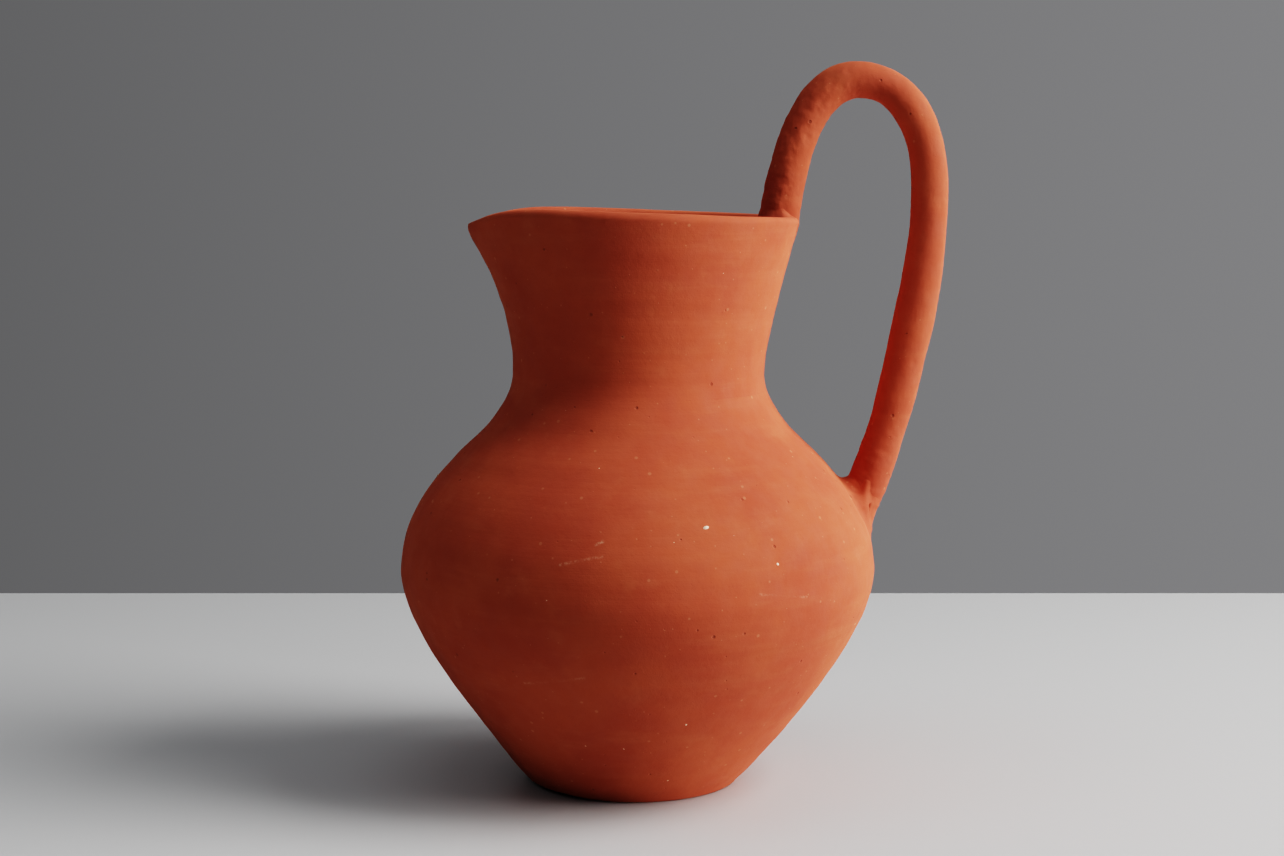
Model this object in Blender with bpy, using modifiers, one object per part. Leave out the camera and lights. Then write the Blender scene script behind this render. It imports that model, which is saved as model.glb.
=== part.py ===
"""A small unglazed terracotta pitcher: a thrown belly, a flared neck with a pulled spout, and a coil handle.

The origin is the middle of the flat base, +Z points up, the spout points to -X and the handle to +X.
The vessel's outline is four Bezier stretches turned about Z. The handle is a swept coil whose roots are
cut to sit on the rim and on the shoulder, and each root is bedded in luting clay of its own.
"""

import math

import bmesh
import bpy
from mathutils import Matrix, Vector
from mathutils.geometry import interpolate_bezier

MM = 0.001

# Outline of the vessel's outside: radius and height of each knot, the lean of the wall there from the
# vertical (outward is positive), and how long the Bezier handles below and above the knot are.
BASE_RADIUS = 35.6 * MM
BELLY_RADIUS = 83.9 * MM
NECK_RADIUS = 44.4 * MM
RIM_RADIUS = 56.8 * MM
RIM_HEIGHT = 201.0 * MM
KNOTS = (
    (BASE_RADIUS, 0.0, math.radians(45.0), 0.0, 25.5 * MM),
    (BELLY_RADIUS, 76.3 * MM, 0.0, 19.5 * MM, 17.0 * MM),
    (57.3 * MM, 123.1 * MM, math.radians(-47.0), 26.0 * MM, 17.0 * MM),
    (NECK_RADIUS, 145.5 * MM, 0.0, 1.5 * MM, 13.0 * MM),
    (RIM_RADIUS, RIM_HEIGHT, math.radians(14.0), 16.0 * MM, 0.0),
)
STRETCH_STEPS = (8, 7, 6, 9)

# Clay thickness, and how the neck is joined to the belly: a bevel that falls inward, so the neck nests.
WALL_THICKNESS = 5.0 * MM
FLOOR_THICKNESS = 6.5 * MM
FLOOR_COVE = 5.0 * MM
BASE_ROUNDING = 1.2 * MM
SEAM_HEIGHT = 140.0 * MM
SEAM_FALL = 3.0 * MM
LIP_STEPS = 5
TURN_STEPS = 64

# The mouth is not level: it rises towards the spout, and the spout dips, pushes out and is pinched.
MOUTH_TILT = 1.9 * MM
SPOUT_DIP = 8.1 * MM
SPOUT_PUSH = 3.4 * MM
SPOUT_PINCH = 1.6 * MM
DIP_SPREAD = math.radians(26.0)
PUSH_SPREAD = math.radians(22.0)
PINCH_PLACE = math.radians(46.0)
PINCH_SPREAD = math.radians(14.0)
TILT_START = 165.0 * MM
PUSH_START = 176.0 * MM

# Handle: knots of the coil's centre line in the XZ plane, as x, z, direction of travel in degrees from
# +X towards +Z, Bezier handle before and after, and the coil's radius there.
COIL_RADIUS = 7.0 * MM
HANDLE_KNOTS = (
    (49.3 * MM, 196.0 * MM, 84.0, 0.0, 24.0 * MM, 1.00),
    (76.9 * MM, 248.1 * MM, 0.0, 17.0 * MM, 16.0 * MM, 0.87),
    (102.6 * MM, 207.7 * MM, -90.0, 24.7 * MM, 28.9 * MM, 0.94),
    (76.9 * MM, 97.7 * MM, -120.0, 22.8 * MM, 0.0, 1.08),
)
HANDLE_STEPS = 10
HANDLE_SIDES = 4

# Luting clay: centre (x, z), half lengths along its own x, y and z, and its lean about Y.
TOP_CLAY = ((45.8 * MM, 197.4 * MM), (8.8 * MM, 10.2 * MM, 8.8 * MM), 0.0)
BOTTOM_CLAY = ((80.3 * MM, 97.8 * MM), (5.4 * MM, 11.0 * MM, 14.0 * MM), math.radians(-27.0))

JOINT_GAP = 0.35 * MM

CLAY_COLOUR = (0.50, 0.20, 0.11, 1.0)
LUTING_COLOUR = (0.42, 0.16, 0.09, 1.0)
CLAY_ROUGHNESS = 0.85


def clear_scene():
    for old in list(bpy.data.objects):
        bpy.data.objects.remove(old, do_unlink=True)


def new_collection(name):
    collection = bpy.data.collections.new(name)
    bpy.context.scene.collection.children.link(collection)
    return collection


def clay_material(name, colour):
    """Fired clay: a matt, non-metallic Principled BSDF."""
    material = bpy.data.materials.new(name)
    material.use_nodes = True
    shader = material.node_tree.nodes["Principled BSDF"]
    shader.inputs["Base Color"].default_value = colour
    shader.inputs["Roughness"].default_value = CLAY_ROUGHNESS
    shader.inputs["Metallic"].default_value = 0.0
    return material


def smooth_rise(value, start, end):
    """0 below start, 1 above end, and a smooth slope between them."""
    share = min(max((value - start) / (end - start), 0.0), 1.0)
    return share * share * (3.0 - 2.0 * share)


def bell(angle, spread):
    return math.exp(-((angle / spread) ** 2))


def outside_outline():
    """The vessel's outer (radius, height) points from the base up to the rim."""
    points = []
    for lower, upper, steps in zip(KNOTS, KNOTS[1:], STRETCH_STEPS):
        start = Vector(lower[:2])
        end = Vector(upper[:2])
        leave = start + lower[4] * Vector((math.sin(lower[2]), math.cos(lower[2])))
        arrive = end - upper[3] * Vector((math.sin(upper[2]), math.cos(upper[2])))
        stretch = interpolate_bezier(start, leave, arrive, end, steps + 1)
        points += stretch[:-1]
    points.append(Vector(KNOTS[-1][:2]))
    return points


def outward_normals(points, closed):
    """Unit normals on the right-hand side of a (radius, height) polyline: the outside, going up."""
    count = len(points)
    normals = []
    for index in range(count):
        before = points[index - 1] if closed or index else points[0]
        after = points[(index + 1) % count] if closed or index < count - 1 else points[-1]
        along = (after - before).normalized()
        normals.append(Vector((along.y, -along.x)))
    return normals


def shifted(points, distance, closed=False):
    normals = outward_normals(points, closed)
    return [point + distance * normal for point, normal in zip(points, normals)]


def cut_below(points, height):
    """The part of a rising polyline above a height, starting with a point exactly on it."""
    for index, (lower, upper) in enumerate(zip(points, points[1:])):
        if lower.y <= height < upper.y:
            share = (height - lower.y) / (upper.y - lower.y)
            return [lower.lerp(upper, share)] + points[index + 1 :]
    return list(points)


def cut_above(points, height):
    """The part of a rising polyline below a height, ending with a point exactly on it."""
    for index, (lower, upper) in enumerate(zip(points, points[1:])):
        if lower.y <= height < upper.y:
            share = (height - lower.y) / (upper.y - lower.y)
            return points[: index + 1] + [lower.lerp(upper, share)]
    return list(points)


def belly_outline():
    """The belly's section, from the middle of its floor up the inside, over the seam and down the outside."""
    whole = outside_outline()
    outside = cut_below(cut_above(whole, SEAM_HEIGHT), BASE_ROUNDING)
    inside = cut_above(shifted(whole, -WALL_THICKNESS), SEAM_HEIGHT - SEAM_FALL)
    inside = cut_below(inside, FLOOR_THICKNESS + FLOOR_COVE)
    cove = inside[0]
    floor_middle = Vector((0.0, FLOOR_THICKNESS))
    floor_edge = Vector((cove.x - 1.6 * FLOOR_COVE, FLOOR_THICKNESS))
    cove_middle = Vector((cove.x - 0.6 * FLOOR_COVE, FLOOR_THICKNESS + 0.3 * FLOOR_COVE))
    base_edge = Vector((BASE_RADIUS - BASE_ROUNDING, 0.0))
    base_middle = Vector((0.0, 0.0))
    return (
        [floor_middle, floor_edge, cove_middle]
        + inside
        + outside[::-1]
        + [base_edge, base_middle]
    )


def neck_outline():
    """The neck's closed section: up the inside, round the lip, and down the outside to the bevelled foot."""
    whole = outside_outline()
    inner_whole = shifted(whole, -WALL_THICKNESS)
    lip_radius = 0.5 * WALL_THICKNESS
    lip_height = RIM_HEIGHT - lip_radius
    outside = cut_below(cut_above(whole, lip_height), SEAM_HEIGHT + JOINT_GAP)
    foot = SEAM_HEIGHT - SEAM_FALL + JOINT_GAP
    inside = cut_below(cut_above(inner_whole, lip_height), foot)
    middle = 0.5 * (outside[-1] + inside[-1])
    reach = 0.5 * (outside[-1] - inside[-1]).length
    lip = []
    for step in range(1, LIP_STEPS):
        turn = math.pi * step / LIP_STEPS
        lip.append(middle + Vector((-reach * math.cos(turn), reach * math.sin(turn))))
    return inside + lip + outside[::-1]


def turned_object(name, outline, closed, collection, steps=TURN_STEPS):
    """A profile at +X turned about Z with a Screw modifier."""
    mesh = bpy.data.meshes.new(name)
    corners = [(point.x, 0.0, point.y) for point in outline]
    edges = [(index, index + 1) for index in range(len(corners) - 1)]
    if closed:
        edges.append((len(corners) - 1, 0))
    mesh.from_pydata(corners, edges, [])
    turned = bpy.data.objects.new(name, mesh)
    collection.objects.link(turned)
    screw = turned.modifiers.new("turn", "SCREW")
    screw.axis = "Z"
    screw.steps = steps
    screw.render_steps = steps
    screw.use_merge_vertices = True
    screw.merge_threshold = 0.01 * MM
    screw.use_smooth_shade = True
    return turned


def as_mesh_object(source):
    """Replaces an object by a plain mesh object holding what its curve or modifiers make."""
    bpy.context.view_layer.update()
    graph = bpy.context.evaluated_depsgraph_get()
    mesh = bpy.data.meshes.new_from_object(source.evaluated_get(graph))
    name = source.name
    placed = source.matrix_world.copy()
    homes = list(source.users_collection)
    bpy.data.objects.remove(source, do_unlink=True)
    mesh.name = name
    result = bpy.data.objects.new(name, mesh)
    result.matrix_world = placed
    for home in homes:
        home.objects.link(result)
    weld = bmesh.new()
    weld.from_mesh(mesh)
    bmesh.ops.remove_doubles(weld, verts=weld.verts, dist=0.001 * MM)
    weld.to_mesh(mesh)
    weld.free()
    return result


def shape_mouth(neck):
    """Tilts the mouth and pulls the spout: the wall near the rim moves up, down, out and in with its angle."""
    for vertex in neck.data.vertices:
        x, y, z = vertex.co
        radius = math.hypot(x, y)
        from_spout = abs(math.atan2(y, -x))
        rise = MOUTH_TILT * (1.0 + math.cos(from_spout))
        dip = SPOUT_DIP * bell(from_spout, DIP_SPREAD)
        push = SPOUT_PUSH * bell(from_spout, PUSH_SPREAD)
        pinch = SPOUT_PINCH * bell(from_spout - PINCH_PLACE, PINCH_SPREAD)
        wider = (push - pinch) * smooth_rise(z, PUSH_START, RIM_HEIGHT)
        scale = (radius + wider) / radius
        higher = (rise - dip) * smooth_rise(z, TILT_START, RIM_HEIGHT)
        vertex.co = Vector((x * scale, y * scale, z + higher))


def make_belly(collection):
    return turned_object("belly", belly_outline(), False, collection)


def make_neck(name, swell, collection):
    """The neck, or with a swell its cutter: the same shape grown by that much on every side."""
    # The section is traced with the clay on its right, so shifting it to the left grows it.
    outline = shifted(neck_outline(), -swell, closed=True)
    neck = as_mesh_object(turned_object(name, outline, True, collection))
    shape_mouth(neck)
    return neck


def make_belly_cutter(collection):
    """The belly filled solid and grown by the joint gap, to cut what stands on its outside."""
    outside = cut_above(shifted(outside_outline(), JOINT_GAP), SEAM_HEIGHT)
    outline = [Vector((0.0, outside[-1].y))] + outside[::-1] + [Vector((0.0, outside[0].y))]
    return turned_object("belly_cutter", outline, False, collection)


def make_coil(name, swell, collection):
    """The handle's coil as a swept Bezier curve with closed ends, made into a mesh."""
    curve = bpy.data.curves.new(name, "CURVE")
    curve.dimensions = "3D"
    curve.resolution_u = HANDLE_STEPS
    curve.bevel_depth = COIL_RADIUS
    curve.bevel_resolution = HANDLE_SIDES
    curve.use_fill_caps = True
    spline = curve.splines.new("BEZIER")
    spline.bezier_points.add(len(HANDLE_KNOTS) - 1)
    for knot, (x, z, heading, before, after, share) in zip(spline.bezier_points, HANDLE_KNOTS):
        place = Vector((x, 0.0, z))
        along = Vector((math.cos(math.radians(heading)), 0.0, math.sin(math.radians(heading))))
        knot.co = place
        knot.handle_left_type = "FREE"
        knot.handle_right_type = "FREE"
        knot.handle_left = place - max(before, MM) * along
        knot.handle_right = place + max(after, MM) * along
        knot.radius = share + swell / COIL_RADIUS
    coil = bpy.data.objects.new(name, curve)
    collection.objects.link(coil)
    return as_mesh_object(coil)


def make_clay_lump(name, clay, collection):
    """An egg-shaped lump of soft clay, leaning about Y."""
    (x, z), half_lengths, lean = clay
    mesh = bpy.data.meshes.new(name)
    lump = bmesh.new()
    bmesh.ops.create_uvsphere(lump, u_segments=20, v_segments=12, radius=1.0)
    bmesh.ops.scale(lump, verts=lump.verts, vec=half_lengths)
    bmesh.ops.rotate(lump, verts=lump.verts, matrix=Matrix.Rotation(lean, 3, "Y"))
    bmesh.ops.translate(lump, verts=lump.verts, vec=(x, 0.0, z))
    lump.to_mesh(mesh)
    lump.free()
    result = bpy.data.objects.new(name, mesh)
    collection.objects.link(result)
    return result


def cut(target, cutters):
    for cutter in cutters:
        boolean = target.modifiers.new("cut_" + cutter.name, "BOOLEAN")
        boolean.operation = "DIFFERENCE"
        boolean.object = cutter


def hide_cutter(cutter):
    cutter.hide_render = True
    cutter.display_type = "WIRE"


def finish_piece(piece, material):
    piece.data.materials.clear()
    piece.data.materials.append(material)
    piece.data.shade_smooth()
    piece.data.set_sharp_from_angle(angle=math.radians(40.0))


def build():
    clear_scene()
    parts = new_collection("pitcher")
    cutters = new_collection("pitcher_cutters")
    terracotta = clay_material("terracotta", CLAY_COLOUR)
    luting = clay_material("luting_clay", LUTING_COLOUR)

    belly = make_belly(parts)
    neck = make_neck("neck", 0.0, parts)
    handle = make_coil("handle", 0.0, parts)
    top_clay = make_clay_lump("handle_top_clay", TOP_CLAY, parts)
    bottom_clay = make_clay_lump("handle_bottom_clay", BOTTOM_CLAY, parts)

    neck_cutter = make_neck("neck_cutter", JOINT_GAP, cutters)
    coil_cutter = make_coil("coil_cutter", JOINT_GAP, cutters)
    belly_cutter = make_belly_cutter(cutters)
    for cutter in (neck_cutter, coil_cutter, belly_cutter):
        hide_cutter(cutter)

    cut(handle, [neck_cutter, belly_cutter])
    cut(top_clay, [neck_cutter, coil_cutter])
    cut(bottom_clay, [belly_cutter, coil_cutter])

    for piece in (belly, neck, handle):
        finish_piece(piece, terracotta)
    for piece in (top_clay, bottom_clay):
        finish_piece(piece, luting)


build()
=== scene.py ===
"""The looks of the terracotta pitcher: clay surfaces over the CAD frame, materials, studio and camera.

Each visible piece but the grit stands for one CAD node. The pieces are built on the CAD's outline, and
add what a potter's hands leave: throwing rings, a wobble, a softened seam, an uneven foot, and joints
smoothed over with clay. The grit is grains in the vessel's skin and stands for no node. Lengths are in
metres unless a name or comment says millimetres, angles in radians unless it says degrees, and the frame is
the CAD's: +Z up, spout to -X.
"""

import math

import bmesh
import bpy
import numpy as np
from mathutils import Matrix, Vector
from mathutils.geometry import interpolate_bezier


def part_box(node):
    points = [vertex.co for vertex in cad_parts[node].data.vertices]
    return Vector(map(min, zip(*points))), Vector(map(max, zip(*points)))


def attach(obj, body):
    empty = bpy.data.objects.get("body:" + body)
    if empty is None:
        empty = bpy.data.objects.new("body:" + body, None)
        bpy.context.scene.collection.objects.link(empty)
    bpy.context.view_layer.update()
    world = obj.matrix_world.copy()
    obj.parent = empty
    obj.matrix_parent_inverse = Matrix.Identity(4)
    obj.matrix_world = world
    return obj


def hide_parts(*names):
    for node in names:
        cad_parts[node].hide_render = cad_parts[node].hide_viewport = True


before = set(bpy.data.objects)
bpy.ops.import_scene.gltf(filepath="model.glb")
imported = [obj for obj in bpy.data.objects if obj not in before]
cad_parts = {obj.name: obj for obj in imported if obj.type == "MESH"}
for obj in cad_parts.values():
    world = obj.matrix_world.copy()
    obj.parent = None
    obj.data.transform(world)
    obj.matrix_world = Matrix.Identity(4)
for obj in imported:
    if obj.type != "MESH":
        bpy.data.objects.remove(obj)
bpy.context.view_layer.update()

MM = 0.001

# ---------------------------------------------------------------- the vessel's outline, as designed in CAD

BASE_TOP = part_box("belly")[0].z
BELLY_RADIUS = 0.5 * (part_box("belly")[1].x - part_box("belly")[0].x)
SEAM_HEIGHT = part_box("belly")[1].z
NECK_RADIUS = 44.4 * MM
RIM_RADIUS = 56.8 * MM
RIM_HEIGHT = 201.0 * MM
FULL_TURN = 2.0 * math.pi
WALL = 5.0 * MM
FLOOR_THICKNESS = 6.5 * MM

# Knots: radius, height, lean of the wall from the vertical, Bezier handle below, handle above. They repeat
# part.py's, whose values are mostly rounded from a least-squares fit to the pitcher's silhouette.
KNOTS = (
    (35.6 * MM, BASE_TOP, math.radians(45.0), 0.0, 25.5 * MM),
    (BELLY_RADIUS, 76.3 * MM, 0.0, 19.5 * MM, 17.0 * MM),
    (57.3 * MM, 123.1 * MM, math.radians(-47.0), 26.0 * MM, 17.0 * MM),
    (NECK_RADIUS, 145.5 * MM, 0.0, 1.5 * MM, 13.0 * MM),
    (RIM_RADIUS, RIM_HEIGHT, math.radians(14.0), 16.0 * MM, 0.0),
)

# The mouth: it rises towards the spout, and the spout dips, pushes out and is pinched at its sides.
MOUTH_TILT = 1.9 * MM
SPOUT_DIP = 7.5 * MM
SPOUT_PUSH = 4.4 * MM
SPOUT_PINCH = 1.6 * MM
DIP_SPREAD = math.radians(26.0)
PUSH_SPREAD = math.radians(22.0)
PINCH_PLACE = math.radians(46.0)
PINCH_SPREAD = math.radians(14.0)
TILT_START = 165.0 * MM
PUSH_START = 176.0 * MM

# The handle's coil: x, z, heading in degrees from +X towards +Z, handle before, handle after, radius share.
# The knots come from the same fit, with both ends and the radius shares set one by one.
COIL_RADIUS = 7.0 * MM
HANDLE_KNOTS = (
    (49.3 * MM, 196.0 * MM, 84.0, 0.0, 24.0 * MM, 1.00),
    (76.9 * MM, 248.1 * MM, 0.0, 17.0 * MM, 16.0 * MM, 0.87),
    (102.6 * MM, 207.7 * MM, -90.0, 24.7 * MM, 28.9 * MM, 0.94),
    (77.7 * MM, 97.7 * MM, -120.0, 22.8 * MM, 0.0, 0.97),
)

# ---------------------------------------------------------------- small numeric helpers


def rise(value, start, end):
    """0 before start, 1 after end, smooth between; works on arrays."""
    share = np.clip((value - start) / (end - start), 0.0, 1.0)
    return share * share * (3.0 - 2.0 * share)


def bell(value, spread):
    """1 at zero, falling smoothly to nothing a few spreads away."""
    return np.exp(-((value / spread) ** 2))


def lattice_noise(around, along, cells_around, cells_along, seed):
    """Smooth noise in -1..1 over two shares in 0..1, periodic in the first."""
    values = np.random.default_rng(seed).uniform(-1.0, 1.0, (cells_around, cells_along + 3))
    u = np.mod(around, 1.0) * cells_around
    v = np.clip(along, 0.0, 1.0) * cells_along
    column = np.floor(u).astype(int)
    row = np.floor(v).astype(int)
    part_u = u - column
    part_v = v - row
    part_u = part_u * part_u * (3.0 - 2.0 * part_u)
    part_v = part_v * part_v * (3.0 - 2.0 * part_v)
    left = column % cells_around
    right = (column + 1) % cells_around
    low = values[left, row] * (1 - part_u) + values[right, row] * part_u
    high = values[left, row + 1] * (1 - part_u) + values[right, row + 1] * part_u
    return low * (1 - part_v) + high * part_v


def resampled(points, step):
    """Points at even spacing along a polyline, ends kept."""
    points = np.asarray(points, float)
    lengths = np.concatenate([[0.0], np.cumsum(np.linalg.norm(np.diff(points, axis=0), axis=1))])
    count = max(2, int(round(lengths[-1] / step)) + 1)
    wanted = np.linspace(0.0, lengths[-1], count)
    return np.stack([np.interp(wanted, lengths, points[:, axis]) for axis in range(points.shape[1])], 1)


OUTLINE_STEPS = 60
OUTLINE_SPACING = 0.25 * MM


def outside_outline():
    """Dense (radius, height) points of the outside, base to rim."""
    points = []
    for lower, upper in zip(KNOTS, KNOTS[1:]):
        start = Vector(lower[:2])
        end = Vector(upper[:2])
        leave = start + lower[4] * Vector((math.sin(lower[2]), math.cos(lower[2])))
        arrive = end - upper[3] * Vector((math.sin(upper[2]), math.cos(upper[2])))
        points += interpolate_bezier(start, leave, arrive, end, OUTLINE_STEPS)[:-1]
    points.append(Vector(KNOTS[-1][:2]))
    return resampled([tuple(point) for point in points], OUTLINE_SPACING)


OUTSIDE = outside_outline()
ALONG = np.gradient(OUTSIDE, axis=0)
ALONG /= np.linalg.norm(ALONG, axis=1)[:, None]
NORMALS = np.stack([ALONG[:, 1], -ALONG[:, 0]], 1)
INSIDE = OUTSIDE - WALL * NORMALS


def stretch_of(points, low, high):
    """The part of a rising outline between two heights, with its ends exactly on them."""
    radius_low = np.interp(low, points[:, 1], points[:, 0])
    radius_high = np.interp(high, points[:, 1], points[:, 0])
    between = points[(points[:, 1] > low) & (points[:, 1] < high)]
    return np.vstack([[radius_low, low], between, [radius_high, high]])


# ---------------------------------------------------------------- what the potter's hands leave

# Throwing rings: spacing and depth of each set.
RINGS = ((2.6 * MM, 0.006 * MM), (4.3 * MM, 0.015 * MM), (7.9 * MM, 0.042 * MM), (14.0 * MM, 0.09 * MM))
SEAM_GROOVE = 0.06 * MM
SEAM_WIDTH = 1.6 * MM
LEAN = 0.006
FOOT_LIFT = 1.4 * MM
LIP_THINNING = 2.0 * MM
LIP_THINNING_SPREAD = math.radians(38.0)
SPOUT_EDGE = 1.9 * MM
SPOUT_EDGE_SPREAD = math.radians(20.0)

# Where the thrown vessel is out of round: angle, height, spreads of both, and how far it stands out.
OUT_OF_ROUND = (
    (math.radians(180.0), 0.0 * MM, math.radians(60.0), 15.0 * MM, 2.2 * MM),
    (math.radians(0.0), 45.0 * MM, math.radians(55.0), 27.0 * MM, 0.6 * MM),
    (math.radians(180.0), 163.0 * MM, math.radians(50.0), 17.0 * MM, -1.1 * MM),
    (math.radians(95.0), 62.0 * MM, math.radians(45.0), 26.0 * MM, -0.5 * MM),
    (math.radians(70.0), 128.0 * MM, math.radians(50.0), 16.0 * MM, 0.4 * MM),
    (math.radians(120.0), 190.0 * MM, math.radians(35.0), 16.0 * MM, 0.5 * MM),
)


def turn_between(angle, other):
    """The signed angle from one direction to another, in -pi..pi."""
    return np.mod(angle - other + math.pi, FULL_TURN) - math.pi


def hand_marks(angle, height):
    """How far the surface stands off the design outline at an angle and height: rings, wobble and dents."""
    around = angle / FULL_TURN
    along = height / RIM_HEIGHT
    drift = 1.6 * MM * lattice_noise(around, along, 3, 9, 11)
    spiral = height + drift + 1.1 * MM * np.sin(angle + 0.7)
    marks = np.zeros_like(height)
    for index, (pitch, depth) in enumerate(RINGS):
        strength = 0.55 + 0.45 * lattice_noise(around, along, 4, 14, 20 + index)
        marks += depth * strength * np.sin(FULL_TURN * spiral / pitch + 1.7 * index)
    marks += 0.22 * MM * lattice_noise(around, along, 4, 5, 31)
    marks += 0.08 * MM * lattice_noise(around, along, 14, 16, 32)
    marks += 0.035 * MM * lattice_noise(around, along, 60, 70, 33)
    return marks


def seam_mark(angle, height):
    """The smoothed-over joint between belly and neck: a shallow line that comes and goes round the pot."""
    around = angle / FULL_TURN
    kept = 0.55 + 0.45 * lattice_noise(around, np.zeros_like(around), 9, 1, 41)
    waver = 0.35 * MM * lattice_noise(around, np.zeros_like(around), 7, 1, 42)
    return -SEAM_GROOVE * kept * bell(height - SEAM_HEIGHT - waver, SEAM_WIDTH)


def lean_at(height):
    """How far the vessel leans towards the handle above mid-height, and away from it below."""
    return LEAN * (height - 0.5 * RIM_HEIGHT)


def out_of_round(angle, height):
    """How far the vessel stands off a true round at an angle and height."""
    total = np.zeros_like(height)
    for place, level, turn_spread, level_spread, offset in OUT_OF_ROUND:
        total += offset * bell(turn_between(angle, place), turn_spread) * bell(height - level, level_spread)
    return total


def shape_vessel(points, depth=0.0):
    """Mouth, spout, lean and uneven roundness; depth is 0 on the outside of the wall and 1 on its inside."""
    x, y, z = points[..., 0], points[..., 1], points[..., 2]
    radius = np.maximum(np.hypot(x, y), 1e-9)
    angle = np.arctan2(y, x)
    from_spout = np.abs(np.arctan2(y, -x))
    lift = MOUTH_TILT * (1.0 + np.cos(from_spout)) - SPOUT_DIP * bell(from_spout, DIP_SPREAD)
    pinch = SPOUT_PINCH * bell(from_spout - PINCH_PLACE, PINCH_SPREAD)
    push = SPOUT_PUSH * bell(from_spout, PUSH_SPREAD) - pinch
    push = push * np.clip((z - PUSH_START) / (RIM_HEIGHT - PUSH_START), 0.0, 1.1) ** 2
    thinning = depth * LIP_THINNING * bell(from_spout, LIP_THINNING_SPREAD)
    push += thinning * rise(z, PUSH_START, RIM_HEIGHT - 2.0 * MM)
    push += out_of_round(angle, z) * rise(radius, 8.0 * MM, 30.0 * MM)
    scale = 1.0 + push / radius
    height = z + lift * rise(z, TILT_START, RIM_HEIGHT)
    edge = SPOUT_EDGE * bell(from_spout, SPOUT_EDGE_SPREAD) * (1.0 - depth)
    height = height + edge * rise(z, RIM_HEIGHT - 5.0 * MM, RIM_HEIGHT)
    return np.stack([x * scale + lean_at(z), y * scale, height], -1)


def turned_points(section, normals, angles, marks_share, depth=0.0):
    """Section points turned to every angle, each moved along its normal by the hand marks."""
    radius = section[:, 0][:, None]
    height = section[:, 1][:, None]
    angle = angles[None, :] + np.zeros_like(radius)
    tall = height + np.zeros_like(angle)
    off = hand_marks(angle, tall) * marks_share[:, None] + seam_mark(angle, tall) * (marks_share[:, None] > 0)
    off = np.where(radius < 1e-6, 0.0, off)
    r = radius + off * normals[:, 0][:, None]
    z = height + off * normals[:, 1][:, None]
    points = np.stack([r * np.cos(angle), r * np.sin(angle), z], -1)
    return shape_vessel(points, np.asarray(depth)[..., None])


def section_normals(section, outside=None):
    """Outward unit normals of a section traced with the clay on its right.

    The rows in outside take the outline's own normals.
    """
    along = np.gradient(section, axis=0)
    along /= np.maximum(np.linalg.norm(along, axis=1)[:, None], 1e-12)
    normals = np.stack([-along[:, 1], along[:, 0]], 1)
    if outside is not None:
        level = section[outside, 1]
        normals[outside] = np.stack([np.interp(level, OUTSIDE[:, 1], NORMALS[:, axis]) for axis in (0, 1)], 1)
    return normals


# ---------------------------------------------------------------- meshes


def object_from(name, verts, faces):
    """A smooth-shaded object in the scene."""
    mesh = bpy.data.meshes.new(name)
    mesh.from_pydata(verts, [], faces)
    mesh.validate()
    mesh.shade_smooth()
    result = bpy.data.objects.new(name, mesh)
    bpy.context.scene.collection.objects.link(result)
    return result


def grid_faces(rows, columns, wrap_rows, wrap_columns, offset=0):
    """Quads of a rows by columns grid of points."""
    row = np.arange(rows if wrap_rows else rows - 1)
    column = np.arange(columns if wrap_columns else columns - 1)
    i, j = np.meshgrid(row, column, indexing="ij")
    i2 = (i + 1) % rows
    j2 = (j + 1) % columns
    quads = np.stack([i * columns + j, i * columns + j2, i2 * columns + j2, i2 * columns + j], -1)
    return (quads.reshape(-1, 4) + offset).tolist()


def ring_object(name, points):
    """A closed turned ring: rows wrap round the section and columns wrap round the axis."""
    rows, columns = points.shape[:2]
    return object_from(name, points.reshape(-1, 3), grid_faces(rows, columns, True, True))


def dish_object(name, points):
    """A turned shape whose first and last rows are single points on the axis."""
    rows, columns = points.shape[:2]
    first = points[0].mean(axis=0)
    last = points[-1].mean(axis=0)
    middle = points[1:-1]
    verts = np.vstack([middle.reshape(-1, 3), [first], [last]])
    faces = grid_faces(rows - 2, columns, False, True)
    count = (rows - 2) * columns
    for column in range(columns):
        after = (column + 1) % columns
        faces.append([count, after, column])
        base = (rows - 3) * columns
        faces.append([count + 1, base + column, base + after])
    return object_from(name, verts, faces)


# ---------------------------------------------------------------- belly and neck

TURN_COLUMNS = 400
ANGLES = np.linspace(0.0, FULL_TURN, TURN_COLUMNS, endpoint=False)
OUTER_STEP = 1.0 * MM
INNER_STEP = 6.0 * MM
SEAM_FALL = 3.0 * MM
EDGE_SUPPORT = 0.06 * MM
BASE_ROUNDING = 1.3 * MM
INSIDE_MARKS = 0.8


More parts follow.
